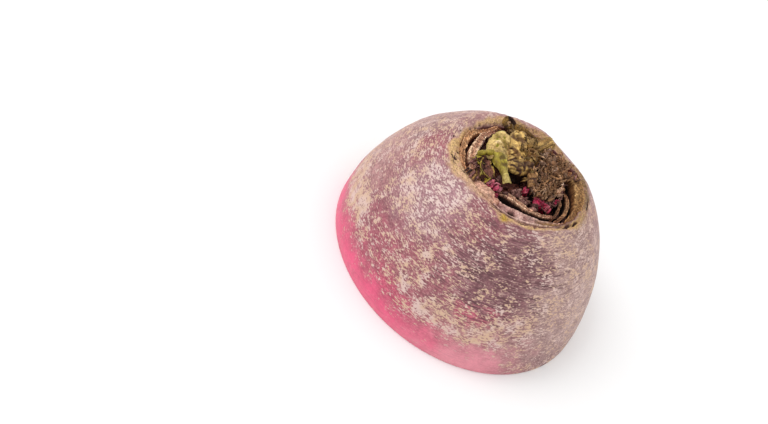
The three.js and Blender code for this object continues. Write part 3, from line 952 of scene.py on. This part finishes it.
def blade(name, spine, cup, thick, low, high, edge_colour, seed, facing=TOWARD_LENS, crumple=0.3, ruffle=0.3,
          crease=0, notch=0, ribs=0, grid=(56, 22), far_end=None, lump=2.6, folds=0, facets=0):
    """A sheet along a spine of places and widths. It faces one way, and cup bends its edges."""
    deselect()
    bpy.ops.mesh.primitive_grid_add(x_subdivisions=grid[0], y_subdivisions=grid[1], size=2)
    piece = just_made(name)
    at = get_places(piece) * MM
    share = (at[:, 0] + 1) / 2
    side_share = at[:, 1]
    off = np.abs(side_share)
    drawn = along_curve(spine, share)
    ahead = unit((along_curve(spine, share + 0.02) - along_curve(spine, share - 0.02))[:, :3])
    side = unit(np.cross(ahead, np.array(Vector(facing).normalized())))
    lift = np.cross(side, ahead)
    line = rows(share * 12, side_share * 2, 0 * share)
    edge = field(line, 1.4, seed, 3)
    half = drawn[:, 3] / 2 * (1 + (ruffle * 0.35 * edge - notch * np.clip(edge - 0.1, 0, 1)) * off)
    flat = drawn[:, :3] + side * (half * side_share)[:, None] - lift * (cup * off ** 2)[:, None]
    wavy = flat + 0.4 * wander(flat, 1.6, seed + 20)
    creases = cell_edges(wavy, 2.3, seed) + 0.5 * cell_edges(wavy, 1.2, seed + 1)
    wide_fold = np.abs(field(wavy, 3, seed + 6, 1))
    small_fold = np.abs(field(wavy, 1.4, seed + 7, 1))
    fold_line = np.exp(-(wide_fold / 0.05) ** 2) + 0.6 * np.exp(-(small_fold / 0.06) ** 2)
    ribbing = np.sin(side_share * 11 + 1.5 * field(line, 4, seed + 4))
    bend = field(flat, lump, seed + 2, 3) * crumple - creases * crease + ribs * ribbing
    bend += folds * (2.6 * wide_fold + 1.1 * small_fold - 0.6)
    bend += ruffle * off ** 3 * field(flat, 1.8, seed + 3)
    facet_shade = 0
    if facets:
        rise, facet_shade = flat_cells(wavy, 2, seed)
        bend += facets * np.clip(rise, -0.8, 0.8)
    flat = flat + lift * bend[:, None]
    set_places(piece, flat)
    lumps = field(flat, lump, seed + 2, 3)
    tones = toward(low, high, ease(-0.3, 0.3, lumps + 0.2 - 0.55 * creases * min(1, crease * 2)))
    tones = tones * (1 + 0.5 * ribbing * min(1, ribs * 4) + 0.28 * facet_shade * min(1, facets * 2))[:, None]
    tones = toward(tones, low * 0.8, np.clip(0.75 * fold_line * min(1, folds * 2), 0, 1))
    tones = toward(tones, edge_colour, ease(0.78, 1, off) * 0.7)
    if far_end is not None:
        tones = toward(tones, far_end, ease(0.62, 0.9, share))
    keep(piece, tone=tones, grain=rows(side_share * half, bend, share * 12))
    apply_modifier(piece, "SOLIDIFY", thickness=thick * MM, offset=-1)
    if grid[0] > 20:
        apply_modifier(piece, "SUBSURF", levels=1, render_levels=1)
    return piece


young = blade(
    "young_leaf_blade", ((-12, -3.4, 41.1, 1.3), (-10, -1.5, 41.4, 1), (-8, -0.6, 41.8, 1.9),
    (-5.9, -1.6, 41.9, 4.2), (-3.7, -3.4, 41.4, 2.6), (-2, -5, 40.8, 1.5), (-0.4, -7.2, 40.3, 2.1)), 0.7,
    0.35, LEAF_SHADE, LEAF_GREEN, LEAF_PALE, 71, crumple=0.35, ruffle=0.5, crease=0.04,
    far_end=srgb(182, 166, 98), lump=2.8, folds=0.3)
finish_piece(young, "young_leaf", leaf_tissue)

cream_leaf = blade(
    "cream_leaf", ((-6.2, -1.4, 41, 5), (-7.1, 1.6, 42.3, 6.8), (-6.9, 5.2, 42.6, 7), (-5.2, 9, 41.8, 5)),
    1.5, 0.4, srgb(136, 116, 48), srgb(200, 174, 112), LEAF_PALE, 72, crumple=0.35, crease=0.05,
    notch=0.5, lump=3.6, folds=0.3, facets=0.35)
# Painted highlights on the curl at the left of the cream leaf, olive patches, and dark creases painted as
# shade.
dab(cream_leaf, (226, 204, 152), (-8.7, 3, 0.45, -0.35), (-8.3, 3.6, 0.45, -0.35), (-7.7, 4.2, 0.4, -0.3))
dab(cream_leaf, (148, 140, 44), (-8.1, 2.2, 0.4, 0.3), (-8.9, 4.4, 0.4, 0.3), (-7.4, 6.6, 0.45, 0.3))
dab(cream_leaf, CREASE_SHADE, (-6.4, 2.6, 0.35, 0.4), (-4.9, 7.6, 0.4, 0.4))
pale_foot = stub(
    "pale_foot", (-5.7, 6.4, SEAT), (2.7, 4.2), -12, (-6.2, 6.6, 40.6), 0.85, DARK_KHAKI, KHAKI, CREAM,
    73)
finish_piece(join_pieces(
    "cream_leaf_stump", cream_leaf, pale_foot), "pale_stalk_stub", cream_tissue)

khaki_leaf = blade(
    "khaki_leaf", ((-2.4, 0.4, 41, 4.4), (-2.2, 5, 42.2, 7.2), (-2, 10, 42.4, 8.4),
    (-1.6, 15.4, 41.2, 7)), 1.2, 0.4, srgb(112, 80, 42), srgb(210, 178, 106), CREAM, 78, crumple=0.15,
    crease=0.15, notch=1.2, lump=3, folds=0.2, facets=0.7)
# Dark creases dented into the khaki leaf and painted as shade.
dab(
    khaki_leaf, CREASE_SHADE, (-2, 13.8, 0.5, 0.6), (-0.6, 14.3, 0.45, 0.6), (-1.4, 11.6, 0.4, 0.5),
    (-1.9, 8, 0.35, 0.5), (-1.4, 7.4, 0.35, 0.5), (-1.5, 6.6, 0.35, 0.5), (-4.1, 5.1, 0.5, 0.5),
    (-2.9, 3.4, 0.4, 0.4), (0.5, 10.8, 0.5, 0.5), (-0.2, 4.2, 0.4, 0.5))
dab(khaki_leaf, (120, 94, 44), (-4.3, 11.2, 0.5, 0.4), (-3.8, 9.6, 0.5, 0.4))
khaki_side = blade(
    "khaki_side", ((2.6, 4, 40.6, 3.2), (2.6, 8, 41.4, 4.4), (2, 12, 41.4, 3.6)), 0.9, 0.4, DARK_BROWN,
    DARK_KHAKI * 2.2, KHAKI * 1.2, 79, crumple=0.8, crease=0.2, notch=1.2)
bud = blade(
    "bud_tongue", ((-3.5, -1.6, 41.1, 1.6), (-0.8, -0.5, 41.6, 3.2), (1.8, 1.5, 41.6, 4.2),
    (4.2, 4.6, 41, 3.6)), 1.2, 0.5, srgb(62, 38, 24), srgb(158, 132, 74), KHAKI, 74, crumple=0.2,
    ribs=0.25, far_end=srgb(112, 84, 52))
# Dark folds pressed into these leaves and painted dark as shade: how far each reaches, its depth,
# and its line of x, y places.
for leaf, reach, drop, *line in (
    (bud, 0.24, 0.15, (-2, -1.1), (-0.7, -0.8), (0.6, -0.5), (1.6, -0.2)),
    (bud, 0.2, 0.12, (-1.9, 0.6), (-0.7, 1), (0.4, 1.2), (1.2, 1.2)),
    (bud, 0.42, 0.4, (0.6, 4.8), (1, 3.4), (1.4, 2.1), (1.9, 0.9)),
    (bud, 0.5, 0.3, (1.8, 5.6), (2.6, 5), (3.4, 4.2), (4.4, 3.7)),
    (bud, 0.3, 0.2, (2.6, 2.4), (3.2, 3.2), (3.4, 4.4)),
    (khaki_leaf, 0.3, 0.3, (-3.3, 0), (-2.9, 0.8), (-2.2, 1.5), (-1.6, 2.8)),
    (khaki_leaf, 0.4, 0.3, (0.6, 5.2), (1, 3.8), (1.4, 2.4)),
    (khaki_leaf, 0.24, 0.2, (-2, 8.7), (-1.4, 8), (-1.3, 6.6)),
    (khaki_leaf, 0.3, 0.3, (-0.2, 10.8), (0.4, 10), (1.4, 10.6), (1.6, 12)),
    (khaki_side, 0.4, 0.3, (1.8, 6.6), (2.6, 6.8), (3.5, 6.2)),
):
    stops = np.linspace(0, len(line) - 1, 5 * len(line))
    across, along = (np.interp(stops, range(len(line)), column) for column in zip(*line))
    dab(leaf, CREASE_SHADE, *((*spot, reach, drop / 2) for spot in zip(across, along)))

khaki_foot = stub(
    "khaki_foot", (-0.85, 8.6, SEAT), (1.8, 3.6), -6, (-0.9, 8.8, 40.4), 0.9, DARK_BROWN, DARK_KHAKI,
    KHAKI, 51, 0.22, 0.45)
broken_ring = stub(
    "broken_ring", (2.2, 9.6, 38), (1.4, 1), 20, (1.6, 9.2, 42.6), 0.95, DARK_BROWN, KHAKI, TAN, 53, 0.2,
    0.2, 1.4)
khaki_stump = join_pieces("khaki_stump", khaki_leaf, khaki_side, khaki_foot, broken_ring)
finish_piece(khaki_stump, "folded_leaf_base", folded_tissue)

bud_foot = stub(
    "bud_foot", (1.5, 2, SEAT), (2.8, 1.6), 38, (1.4, 2.6, 40), 0.85, DARK_BROWN, DARK_BROWN, DARK_KHAKI,
    75)
splinter = blade(
    "splinter", ((4.4, 2.6, 40.8, 2.4), (5.6, 0.2, 40.8, 2.8), (6.4, -2.4, 39.8, 1.6)), 0.5, 0.4,
    DARK_BROWN, srgb(140, 106, 66), TAN, 93, crease=0.2, notch=0.7, ribs=0.2)
finish_piece(join_pieces(
    "heart_bud_tongue", bud, bud_foot, splinter), "heart_bud", bud_tissue)

curl = blade(
    "curl", ((-6.4, 17.4, 41, 1), (-7.6, 17.8, 41.8, 1.2), (-9.2, 17, 42, 1.3), (-9.4, 15.4, 41.6, 1.2),
    (-8.2, 14.6, 41.1, 0.9), (-7.2, 15.2, 40.8, 0.5)), 0.3, 0.3, DARK_BROWN, srgb(120, 94, 44), KHAKI, 76,
    crumple=0.2, crease=0.2)
tip_foot = stub(
    "tip_foot", (-5, 14.6, SEAT), (2.3, 1.2), 24, (-5.6, 15.6, 40), 0.8, DARK_BROWN, DARK_KHAKI, BROWN,
    77, 0.25, 0.4)
fallen = blade(
    "fallen", ((-7.6, 16.8, 40.4, 1.6), (-5.2, 17.6, 40.2, 2.8), (-2.6, 18.2, 39.8, 3),
    (0.6, 18.6, 39.4, 1.8)), 0.8, 0.4, DARK_KHAKI, srgb(128, 98, 46), KHAKI, 94, facing=(0.1, -0.5, 0.85),
    crumple=0.5, crease=0.2, notch=0.6)
finish_piece(join_pieces(
    "curled_dry_tip", curl, tip_foot, fallen), "curled_leaf_tip", dry_tissue)

hollow_leaf = blade(
    "hollow_leaf", ((-9.2, -3.2, 39.8, 2.6), (-8.4, -5.2, 39.6, 4.4), (-6.8, -7.4, 39.6, 4.4),
    (-5.2, -8.8, 39.6, 2.4)), -1.4, 0.3, DEEP_SHADE, srgb(120, 78, 66), srgb(170, 150, 60), 91,
    facing=(0.3, -0.3, 0.9), crease=0.3, notch=0.3)
finish_piece(hollow_leaf, None, base_tissue)

# ------------
# Torn scraps of dried leaf that fill the gaps of the crown: one small curved scrap, copied with
# its own mesh wherever scraps lie, each turned, sized and bent its own way.
chance = np.random.default_rng(4)


def scrap_heap(name, size, colours, seed, *spots, spread=(1.2, 1.2, 0.8), tilt=0.5, loose=0.6,
               shape=(1, 1, 1), bent=0.35):
    """Scraps scattered about the spots, each a place and a count."""
    low, high, pale = colours
    first = blade(
        "first_scrap", ((0, -0.5, -0.1, 0.4), (0, 0, 0, 0.7), (0, 0.5, -0.1, 0.3)), 0.12, 0.12, *colours,
        seed, facing=(0, 0, 1), crumple=0.1, notch=0.8, grid=(5, 3))
    made = []
    for *spot, count in spots:
        for _ in range(count):
            pick(first)
            bpy.ops.object.duplicate()
            one = just_made("scrap")
            one.location = (Vector(spot) + Vector(chance.normal(0, 0.5, 3) * spread)) * MM
            turned = chance.normal(0, loose, 2)
            one.rotation_euler = (turned[0] + tilt, turned[1], chance.uniform(0, 6.3))
            one.scale = [size * part * chance.uniform(0.6, 1.5) for part in shape]
            shade = chance.uniform(0.42, 1.4)
            paler = chance.uniform(0, 1) ** 2.2
            edge_dark = ease(0.1, 0.5, np.abs(get_places(one)[:, 1]))
            tones = toward((high * (1 - paler) + pale * paler) * shade, low, edge_dark * 0.6)
            keep(one, tone=tones)
            made.append(one)
    bpy.data.objects.remove(first)
    heap = join_pieces(name, *made)
    bpy.ops.object.transform_apply()
    at = get_places(heap)
    set_places(heap, at + wander(at, 1.3, seed + 1) * bent)
    return heap


heap = scrap_heap(
    "fibre_scraps", 2.1, (srgb(88, 52, 42), BROWN * 1.12, GREY_BROWN * 1.25), 95, (6.6, 7.4, 41.2, 8),
    (7.2, 10.6, 41.8, 10), (9.6, 12.6, 41.6, 9), (12.2, 12.4, 40.8, 7), (9.4, 8.6, 41.6, 10),
    (12, 9, 40.8, 9), (7.6, 4.2, 41, 9), (10.2, 5.2, 41.2, 10), (12.6, 5.2, 40.2, 8), (8.6, 1.4, 40.6, 9),
    (11.4, 1.6, 40.4, 9), (13.2, 1.8, 39.4, 6), (7.6, -2.2, 39.9, 8), (10.2, -1.8, 40, 9),
    (12.2, -1.6, 39.4, 6), (9, -4.2, 39.2, 6), (5.8, 12.4, 41.2, 6), (14, 10, 39.8, 6), tilt=1.25,
    loose=0.4, shape=(0.7, 1.5, 0.7), bent=0.2)
finish_piece(heap, None, dry_tissue)
heap = scrap_heap(
    "khaki_scraps", 2, (DARK_BROWN, KHAKI * 1.1, CREAM * 0.8), 96, (0.6, 11.8, 42, 8), (-1.2, 7, 42, 5),
    (2.6, 6.4, 41.4, 6), (3.8, 9.6, 41.6, 6), (-2.6, 13.8, 41.6, 6), (1.4, 14.6, 41.4, 6),
    (0.4, 3.6, 41.4, 4), (5, 3.4, 40.6, 4), (-5.6, 14.6, 41.2, 5), (3.8, 0.2, 39.4, 3), tilt=0.8,
    loose=0.5, shape=(0.9, 1.3, 0.8), bent=0.25)
finish_piece(heap, None, stalk_tissue)
heap = scrap_heap(
    "leaf_base_scraps", 1.7, (DEEP_SHADE, DARK_MAUVE, MAUVE), 97, (-10.8, -6, 39.2, 6), (-7, -5.4, 39.2, 5),
    (-3.6, -5.8, 38.8, 5), (-1, -4.6, 35.9, 3), (3, -7, 38.6, 6), (6.6, -8.4, 38.6, 5),
    (9.6, -8.4, 38.8, 5), (12.8, -6.6, 38.8, 6), (14.2, -3.4, 38.8, 5), (15, 2.6, 38.2, 4),
    (-12.4, 4.4, 38.8, 3), (-11.2, 9.4, 38.8, 4), (0.4, -9.8, 38.6, 4), (13.7, 7, 38.2, 5),
    (16.4, 12, 39.2, 5), tilt=0.9, loose=0.5, shape=(0.9, 1.3, 0.8), bent=0.25)
finish_piece(heap, None, base_tissue)
heap = scrap_heap(
    "green_scraps", 1.5, (LEAF_SHADE, LEAF_GREEN, LEAF_PALE), 98, (-10, -5.2, 40, 4),
    (-8.1, -8.4, 39.8, 3), (-6, -9.6, 39.6, 3), (-11.4, -4.6, 40.6, 2), spread=(0.5, 0.5, 0.4), tilt=0.7,
    shape=(0.7, 1.4, 0.8))
finish_piece(heap, None, leaf_tissue)

# Frayed spikes where the near left leaf base has worn away: each a place and where it points.
spikes = []
for foot_x, foot_y, far_x, far_y in (
    (-10.9, -8.6, -11.8, -11.4), (-9.9, -8.6, -10.6, -12.2), (-9.2, -9.4, -9.6, -12.4),
    (-11.9, -8.6, -12.6, -10.8), (-8.4, -9.8, -8.8, -12.2),
):
    number = len(spikes)
    middle = ((foot_x + far_x) / 2, (foot_y + far_y) / 2, 39.5, 0.35)
    spine = ((foot_x, foot_y, 39.1, 0.55), middle, (far_x, far_y, 39.3, 0.12))
    spikes.append(blade(
        f"spike_{number}", spine, 0.3, 0.2, DEEP_SHADE, (DEEP_SHADE, DARK_MAUVE, OLIVE)[number % 3], TAN * 0.6,
        101 + number, crumple=0.1, notch=0.3, grid=(12, 5)))
finish_piece(join_pieces("frayed_spikes", *spikes), None, base_tissue)

# ------------
# The cut stalk ends: torn bits of red flesh low in the crown, still moist where they broke. Each
# is a low foot of flesh under a few small flakes.
RED_FLESH = srgb(182, 44, 86)
DARK_FLESH = srgb(92, 12, 36)
PALE_FLESH = srgb(206, 120, 134)
flesh_tissue = tissue("red_flesh_tissue", 0.4, 1.4, 0.12, (90, 16, 40), 0.4)
for number, *middle, half_size, angle, tall, flakes, ripe, faded in (
    (1, -3.8, -9.4, (2, 0.9), 6, 3.6, 10, srgb(204, 84, 124), srgb(226, 158, 168)),
    (2, 11.2, -6.2, (2, 0.9), 24, 4, 15, RED_FLESH, PALE_FLESH),
    (3, 5.4, -4.3, (0.8, 0.7), -30, 3.6, 6, RED_FLESH, PALE_FLESH),
):
    red_foot = stub(
        f"red_foot_{number}", (*middle, SEAT - 0.3), half_size, angle, (*middle, SEAT + tall), 0.8,
        DARK_FLESH, ripe, ripe, 80 + number, 0.3, 0.25, 0.1)
    heap = scrap_heap(
        f"red_flakes_{number}", 1.9, (DARK_FLESH, ripe, faded), 84 + number,
        (*middle, SEAT + tall + 0.2, flakes), spread=(half_size[0] * 1.4, 0.75, 0.5), tilt=0.9, loose=0.35,
        shape=(1.3, 1, 0.7), bent=0.3)
    red_end = join_pieces(f"red_stalk_end_{number}", red_foot, heap)
    finish_piece(red_end, f"cut_stalk_end_{number}", flesh_tissue)
heap = scrap_heap(
    "side_flakes", 1.2, (DARK_FLESH, RED_FLESH, RED_FLESH), 88, (14.4, -2.2, 39.2, 5),
    (-11.6, -4.4, 39.4, 5), (-1.6, -12.6, 39, 4), spread=(0.5, 0.9, 0.5))
finish_piece(heap, None, flesh_tissue)

# ------------
# Frayed fibres on the dried leaf bases: thin strips of the same leaf, which split along its veins
# and curl as they dry. They lie on the torn scraps.
heap = scrap_heap(
    "frayed_fibres", 1.5, (srgb(98, 62, 42), srgb(166, 126, 88), srgb(208, 176, 140)), 99,
    (6.8, 8.4, 42, 12), (8.4, 10.8, 42.2, 14), (10.8, 12.4, 41.8, 12), (10.4, 9.4, 42, 14),
    (12.4, 8.4, 41.2, 12), (8.4, 5.4, 41.8, 14), (10.8, 5.4, 41.6, 14), (12.6, 4.2, 40.6, 10),
    (9, 2, 41.3, 14), (11.6, 1.4, 40.8, 12), (8.4, -1.8, 40.6, 12), (10.8, -1.8, 40.4, 12),
    (9.4, -4, 39.7, 8), (5.6, 4.6, 41.4, 8), tilt=0.9, loose=0.5, shape=(0.35, 1.9, 0.6), bent=0.45)
finish_piece(heap, None, dry_tissue)
